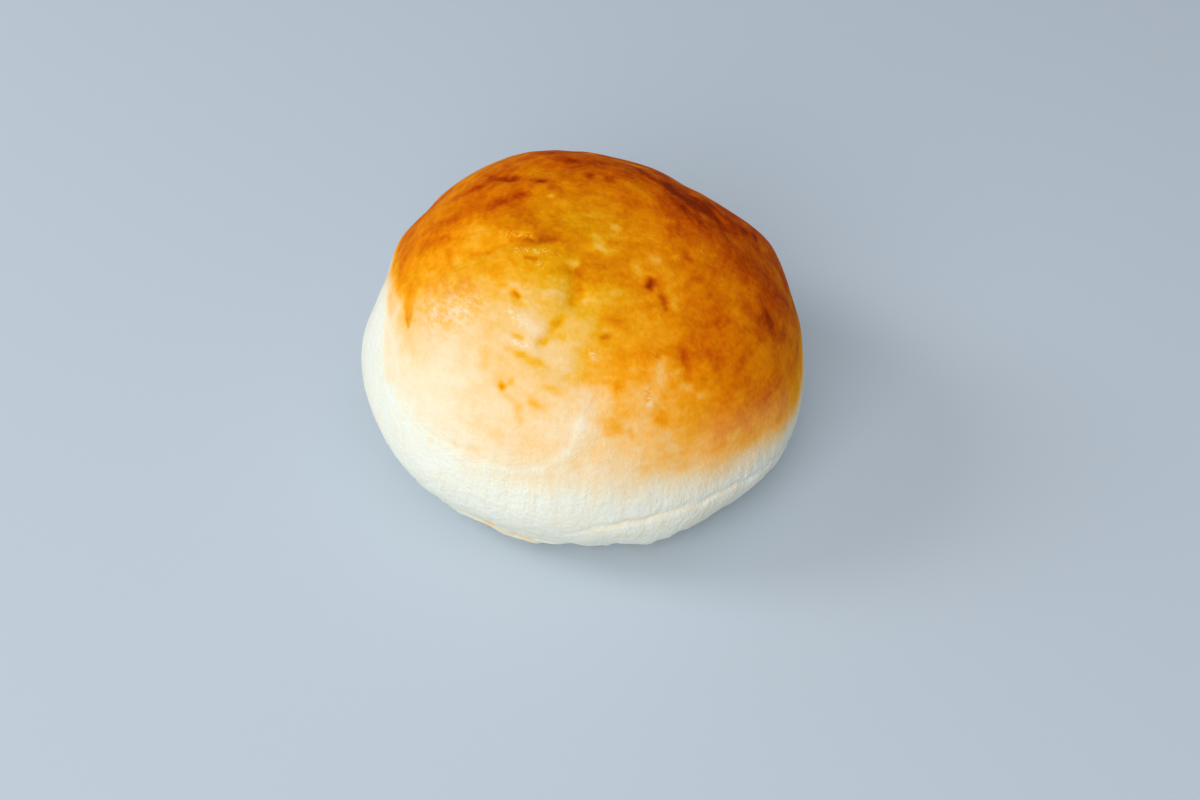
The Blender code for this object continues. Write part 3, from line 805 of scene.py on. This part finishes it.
# Colours of the crust from pale dough to dark brown, along an orange path and along a golden one
ORANGE_PATH = (
    (0.00, (0.83, 0.85, 0.77)),
    (0.04, (0.84, 0.83, 0.71)),
    (0.10, (0.86, 0.78, 0.59)),
    (0.20, (0.895, 0.67, 0.39)),
    (0.30, (0.94, 0.55, 0.185)),
    (0.35, (0.96, 0.495, 0.125)),
    (0.40, (0.965, 0.44, 0.076)),
    (0.45, (0.955, 0.39, 0.040)),
    (0.50, (0.935, 0.34, 0.010)),
    (0.60, (0.84, 0.25, 0.001)),
    (0.70, (0.74, 0.175, 0.001)),
    (0.80, (0.615, 0.102, 0.001)),
    (0.90, (0.47, 0.053, 0.001)),
    (1.00, (0.25, 0.025, 0.001)),
)
GOLDEN_PATH = (
    (0.00, (0.83, 0.85, 0.77)),
    (0.04, (0.85, 0.84, 0.70)),
    (0.10, (0.86, 0.77, 0.55)),
    (0.20, (0.86, 0.66, 0.41)),
    (0.30, (0.835, 0.55, 0.235)),
    (0.35, (0.82, 0.51, 0.165)),
    (0.40, (0.815, 0.46, 0.075)),
    (0.45, (0.80, 0.41, 0.022)),
    (0.50, (0.78, 0.35, 0.003)),
    (0.60, (0.72, 0.26, 0.001)),
    (0.70, (0.61, 0.175, 0.001)),
    (0.80, (0.49, 0.11, 0.001)),
    (0.90, (0.34, 0.060, 0.001)),
    (1.00, (0.18, 0.025, 0.001)),
)

# The crust's colour: how far each noise moves the browning, then its lump size, stretch and detail
MOTTLE, MOTTLE_NOISE = 0.34, (0.0046, 3.0)
STREAKS, STREAK_NOISE = 0.22, (0.0026, (0.42, 0.42, 1.0), 1.0)
SPECKLE, SPECKLE_NOISE = 0.19, (0.0011, 2.0)
THIN_RIB_NOISE = (0.0016, (1.0, 1.0, 0.16))
WIDE_RIB_NOISE = (0.0027, (1.0, 1.0, 0.30))
FLAKE_NOISE = (0.00055, 1.0)
CRACKLE_NOISE = (0.0013, (0.55, 0.55, 1.0))
# The painted sheen: its pale pinkish colour, and how much of it is blended over the right flank
PAINTED_SHEEN_COLOUR = (0.95, 0.66, 0.48)
RIM_SHEEN_SHARE = 0.09

# Its roughness, glaze and bump
ROUGH_SHARE, ROUGH_NOISE = 0.16, (0.0025,)
FLAKE_POLISH = 0.2
FLAKE_GLAZE, WRINKLED_GLAZE = 0.32, 0.6
GRAIN_NOISE = (0.0014, 4.0)
FINE_GRAIN, FINE_GRAIN_NOISE = 0.35, (0.0004, 2.0)
BUMP_RIB_NOISE = (0.0011, (1.0, 1.0, 0.12))
CREASES, CREASE_NOISE = 1.6, (0.0011, (0.55, 0.55, 1.0))

# How one value of the material follows another: from low and high, to low and high
BAKED_BY_BROWNING = (0.04, 0.40, 0.0, 1.0)
BROKEN_BY_NOISE = (0.47, 0.60, 0.0, 1.0)
VARIED_BY_BROWNING = (0.1, 0.6, 0.18, 1.0)
RIBBED_BY_BROWNING = (0.0, 0.3, 0.10, 0.0)
WARMED_BY_BROWNING = (0.0, 0.15, 0.03, 0.0)
PAINTED_GLINT_BY_FLAKES = (0.0, 1.0, 1.0, 0.45)
PAINTED_SHEEN_BY_CRACKLE = (0.44, 0.62, 0.10, 0.50)
ROUGH_BY_BAKING = (0.0, 1.0, 0.75, 0.42)
GLAZE_BY_BAKING = (0.2, 1.0, 0.0, 0.05)
RIBS_BY_BROWNING = (0.05, 0.3, 0.9, 0.0)
HEIGHT_BY_BROWNING = (0.05, 0.4, 3.0, 1.4)

# Values that are the same all over the crust
CRUST_SETTINGS = {
    "Coat Roughness": 0.24,
    "Specular IOR Level": 0.0,
    "Subsurface Weight": 0.10,
    "Subsurface Radius": (1.0, 0.55, 0.30),
    "Subsurface Scale": 0.002,
}
BUMP_SETTINGS = {"Strength": 0.45, "Distance": 0.0003}

# The floor and the light: the lights' places, sizes in metres, powers in watts and colours
FLOOR_COLOUR = (0.53, 0.60, 0.68, 1.0)
FLOOR_SETTINGS = {"Base Color": FLOOR_COLOUR, "Roughness": 0.8, "Specular IOR Level": 0.2}
FLOOR_HALF = 4.0
FLOOR_BELOW = 0.0001
LIGHTS = (
    ("window", (-1.04, -0.04, 0.74), 0.45, 5.0, (0.93, 0.98, 1.0)),
    ("front_window", (-0.45, -1.30, 0.85), 1.2, 16.5, (1.0, 0.99, 0.97)),
    ("ceiling", (0.10, -0.20, 1.60), 1.4, 4.0, (0.98, 0.99, 1.0)),
)
ROOM_COLOUR = (0.94, 0.97, 1.0, 1.0)
ROOM_LIGHT = 0.36


class Nodes:
    """Short ways to add and join the nodes of one material."""

    def __init__(self, material):
        self.tree = material.node_tree
        self.shader = self.tree.nodes["Principled BSDF"]

    def add(self, kind, **settings):
        node = self.tree.nodes.new(kind)
        for name, value in settings.items():
            setattr(node, name, value)
        return node

    def join(self, output, socket):
        self.tree.links.new(output, socket)

    def attribute(self, name):
        return self.add("ShaderNodeAttribute", attribute_name=name).outputs["Fac"]

    def stretched_noise(self, vector, size, stretch, detail):
        """A noise whose lumps are about size metres across before they are stretched."""
        mapping = self.add("ShaderNodeMapping")
        mapping.inputs["Scale"].default_value = stretch
        self.join(vector, mapping.inputs["Vector"])
        noise = self.add("ShaderNodeTexNoise")
        noise.inputs["Scale"].default_value = 1.0 / size
        noise.inputs["Detail"].default_value = detail
        self.join(mapping.outputs["Vector"], noise.inputs["Vector"])
        return noise.outputs["Fac"]

    def noise(self, size, detail=3.0):
        """A noise in the object's own frame."""
        vector = self.add("ShaderNodeTexCoord").outputs["Object"]
        return self.stretched_noise(vector, size, (1.0, 1.0, 1.0), detail)

    def flow_noise(self, size, stretch, detail=2.0):
        """A noise drawn along or across the crust, round the bun."""
        vector = self.add("ShaderNodeAttribute", attribute_name="flow").outputs["Vector"]
        return self.stretched_noise(vector, size, stretch, detail)

    def math(self, operation, first, second):
        node = self.add("ShaderNodeMath", operation=operation)
        for socket, value in zip(node.inputs, (first, second)):
            if isinstance(value, (int, float)):
                socket.default_value = value
            else:
                self.join(value, socket)
        return node.outputs["Value"]

    def plus(self, first, second):
        return self.math("ADD", first, second)

    def minus(self, first, second):
        return self.math("SUBTRACT", first, second)

    def times(self, first, second):
        return self.math("MULTIPLY", first, second)

    def centred(self, value):
        """The value less a half, so that it varies about nothing."""
        return self.minus(value, 0.5)

    def spread(self, value, *limits):
        """The value, carried from one range to another and kept inside it."""
        node = self.add("ShaderNodeMapRange", clamp=True)
        self.join(value, node.inputs["Value"])
        for name, number in zip(("From Min", "From Max", "To Min", "To Max"), limits):
            node.inputs[name].default_value = number
        return node.outputs["Result"]

    def path(self, value, stops):
        """The colour at a value along a path of colours."""
        node = self.add("ShaderNodeValToRGB")
        stops_kept = node.color_ramp.elements
        while len(stops_kept) < len(stops):
            stops_kept.new(0.5)
        for element, (at, colour) in zip(stops_kept, stops):
            element.position = at
            element.color = (*colour, 1.0)
        self.join(value, node.inputs["Fac"])
        return node.outputs["Color"]

    def plain_colour(self, colour):
        node = self.add("ShaderNodeRGB")
        node.outputs["Color"].default_value = (*colour, 1.0)
        return node.outputs["Color"]

    def blend(self, share, first, second):
        node = self.add("ShaderNodeMix", data_type="RGBA")
        self.join(share, node.inputs["Factor"])
        self.join(first, node.inputs["A"])
        self.join(second, node.inputs["B"])
        return node.outputs["Result"]


def crust_material():
    """Baked crust: browned and glazed where the browning is strong, pale and floury where it is weak."""
    material = bpy.data.materials.new("baked_crust")
    material.use_nodes = True
    nodes = Nodes(material)
    brown_and_shade = nodes.attribute("browning_and_shade")
    wrinkled_sheen = nodes.attribute("wrinkled_sheen")
    baked = nodes.spread(brown_and_shade, *BAKED_BY_BROWNING)
    flake_glints = nodes.times(nodes.attribute("flakes_and_glints"), nodes.spread(nodes.noise(*FLAKE_NOISE), *BROKEN_BY_NOISE))

    mottle = nodes.times(nodes.centred(nodes.noise(*MOTTLE_NOISE)), MOTTLE)
    streaks = nodes.times(nodes.centred(nodes.flow_noise(*STREAK_NOISE)), STREAKS)
    speckle = nodes.times(nodes.centred(nodes.noise(*SPECKLE_NOISE)), SPECKLE)
    varied = nodes.plus(nodes.plus(mottle, streaks), speckle)
    varied = nodes.times(varied, nodes.spread(brown_and_shade, *VARIED_BY_BROWNING))
    ribbed = nodes.plus(nodes.flow_noise(*THIN_RIB_NOISE), nodes.flow_noise(*WIDE_RIB_NOISE))
    ribbed = nodes.times(nodes.minus(ribbed, 1.0), nodes.spread(brown_and_shade, *RIBBED_BY_BROWNING))
    varied = nodes.plus(varied, nodes.plus(ribbed, nodes.spread(brown_and_shade, *WARMED_BY_BROWNING)))
    # Painted glints: on the flakes the browning is cut to as little as 0.45 of itself, so the colour is paler
    # there
    shade = nodes.times(nodes.plus(brown_and_shade, varied), nodes.spread(flake_glints, *PAINTED_GLINT_BY_FLAKES))
    orange, golden = nodes.path(shade, ORANGE_PATH), nodes.path(shade, GOLDEN_PATH)
    colour = nodes.blend(nodes.attribute("gold"), orange, golden)
    # Painted sheen: a pale pinkish colour blended over the wrinkled glossy patch, broken up by crackle noise,
    # and a little of it over the right flank
    crackle = nodes.spread(nodes.flow_noise(*CRACKLE_NOISE), *PAINTED_SHEEN_BY_CRACKLE)
    painted_sheen = nodes.plus(nodes.times(wrinkled_sheen, crackle), nodes.times(nodes.attribute("rim_sheen"), RIM_SHEEN_SHARE))
    colour = nodes.blend(painted_sheen, colour, nodes.plain_colour(PAINTED_SHEEN_COLOUR))
    nodes.join(colour, nodes.shader.inputs["Base Color"])

    uneven = nodes.times(nodes.centred(nodes.noise(*ROUGH_NOISE)), ROUGH_SHARE)
    rough = nodes.plus(nodes.spread(baked, *ROUGH_BY_BAKING), uneven)
    rough = nodes.minus(rough, nodes.times(flake_glints, FLAKE_POLISH))
    nodes.join(rough, nodes.shader.inputs["Roughness"])
    glazed = nodes.plus(nodes.spread(baked, *GLAZE_BY_BAKING), nodes.times(flake_glints, FLAKE_GLAZE))
    glazed = nodes.plus(glazed, nodes.times(wrinkled_sheen, WRINKLED_GLAZE))
    nodes.join(glazed, nodes.shader.inputs["Coat Weight"])
    for name, value in CRUST_SETTINGS.items():
        nodes.shader.inputs[name].default_value = value

    fine_grain = nodes.times(nodes.noise(*FINE_GRAIN_NOISE), FINE_GRAIN)
    grain = nodes.plus(nodes.noise(*GRAIN_NOISE), fine_grain)
    ribs = nodes.times(nodes.flow_noise(*BUMP_RIB_NOISE), nodes.spread(brown_and_shade, *RIBS_BY_BROWNING))
    creased = nodes.times(nodes.flow_noise(*CREASE_NOISE), wrinkled_sheen)
    height = nodes.plus(nodes.plus(grain, ribs), nodes.times(creased, CREASES))
    height = nodes.times(height, nodes.spread(brown_and_shade, *HEIGHT_BY_BROWNING))
    bump = nodes.add("ShaderNodeBump")
    for name, value in BUMP_SETTINGS.items():
        bump.inputs[name].default_value = value
    nodes.join(height, bump.inputs["Height"])
    nodes.join(bump.outputs["Normal"], nodes.shader.inputs["Normal"])
    nodes.join(bump.outputs["Normal"], nodes.shader.inputs["Coat Normal"])
    return material


def floor_material():
    """Plain pale floor, faintly cool."""
    material = bpy.data.materials.new("pale_floor")
    material.use_nodes = True
    shader = material.node_tree.nodes["Principled BSDF"]
    for name, value in FLOOR_SETTINGS.items():
        shader.inputs[name].default_value = value
    return material


def make_floor():
    """A wide flat floor just under the bun."""
    shape = bmesh.new()
    bmesh.ops.create_grid(shape, x_segments=1, y_segments=1, size=FLOOR_HALF)
    bmesh.ops.translate(shape, verts=shape.verts, vec=(0.0, 0.0, -FLOOR_BELOW))
    mesh = bpy.data.meshes.new("floor")
    shape.to_mesh(mesh)
    shape.free()
    floor = bpy.data.objects.new("floor", mesh)
    bpy.context.scene.collection.objects.link(floor)
    floor.data.materials.append(floor_material())


def add_light(name, place_at, size, power, colour):
    """A square soft light at a place, turned to the bun's middle."""
    light = bpy.data.lights.new(name, "AREA")
    light.size = size
    light.energy = power
    light.color = colour
    lamp = bpy.data.objects.new(name, light)
    lamp.location = place_at
    towards = Vector((0.0, 0.0, CROWN_HEIGHT / 2)) - Vector(place_at)
    lamp.rotation_euler = towards.to_track_quat("-Z", "Y").to_euler()
    bpy.context.scene.collection.objects.link(lamp)


def light_scene():
    """Soft windows to the left and in front, a weaker light above, and pale light all round."""
    for light in LIGHTS:
        add_light(*light)
    world = bpy.data.worlds.new("pale_room")
    world.use_nodes = True
    background = world.node_tree.nodes["Background"]
    background.inputs["Color"].default_value = ROOM_COLOUR
    background.inputs["Strength"].default_value = ROOM_LIGHT
    world.cycles_visibility.glossy = False
    bpy.context.scene.world = world


def make_camera():
    """The camera, standing and leaning as the photograph's did."""
    lens = bpy.data.cameras.new("camera")
    lens.lens = CAMERA_LENS
    lens.sensor_width = CAMERA_SENSOR
    lens.clip_start = CAMERA_NEAR
    camera = bpy.data.objects.new("camera", lens)
    tilt = Euler((math.radians(90.0 - CAMERA_DOWN), 0.0, 0.0)).to_matrix().to_4x4()
    lean = Matrix.Rotation(math.radians(CAMERA_LEAN), 4, "Z")
    camera.matrix_world = Matrix.Translation(CAMERA_PLACE) @ tilt @ lean
    bpy.context.scene.collection.objects.link(camera)
    bpy.context.scene.camera = camera


bpy.context.scene.view_settings.view_transform = "Standard"
make_camera()
light_scene()
make_floor()
bun = make_bun()
bun.data.materials.append(crust_material())
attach(bun, "root")
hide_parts("bread_bun")
